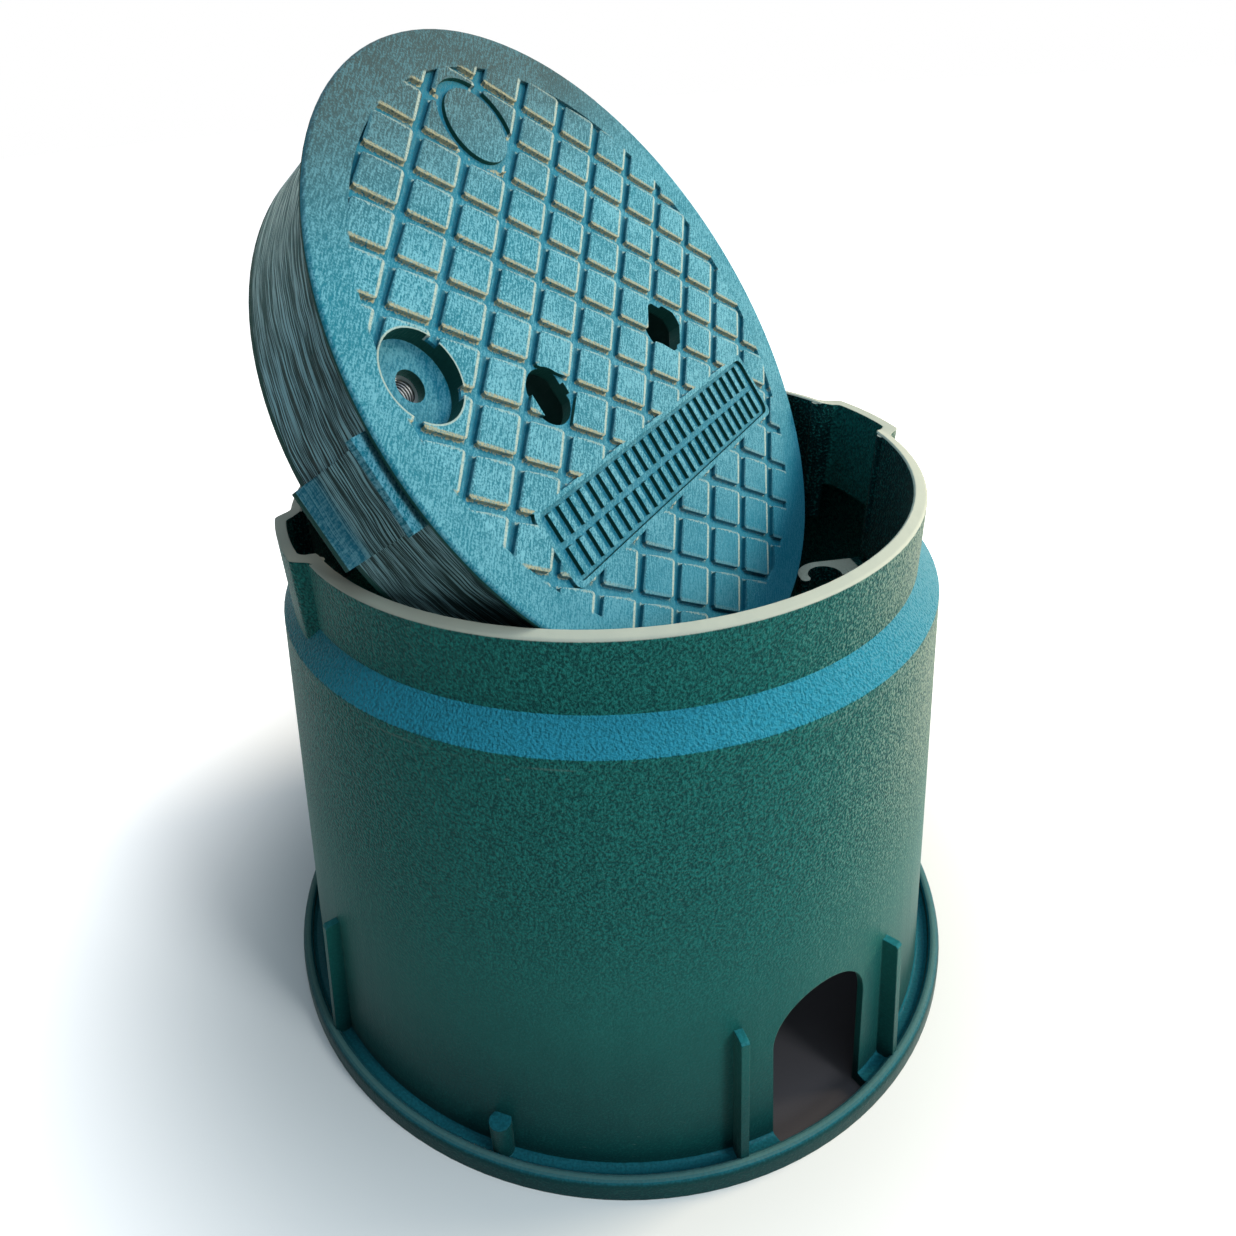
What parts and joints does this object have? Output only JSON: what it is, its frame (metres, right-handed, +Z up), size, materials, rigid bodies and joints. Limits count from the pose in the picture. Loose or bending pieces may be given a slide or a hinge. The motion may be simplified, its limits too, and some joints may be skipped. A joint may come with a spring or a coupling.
{
  "type": "irrigation valve box",
  "caption": "Round tapered plastic box for a buried irrigation valve, with arched pipe openings in its foot and a treaded round lid leaning in its mouth.",
  "frame": {"origin": "centre of the round footprint, on the ground", "axes": "+Z up; +X to the right and +Y away in the picture"},
  "size_m": [0.3559, 0.356, 0.4227],
  "materials": {
    "box_plastic": "dark green structural foam, finely pebbled above and smoother towards the foot",
    "lid_plastic": "dark teal green structural foam, rubbed pale on the tread",
    "nut_steel": "zinc plated"
  },
  "bodies": {
    "root": {"box_body": "box_plastic", "lid": "lid_plastic", "lock_nut": "nut_steel"}
  },
  "joints": []
}
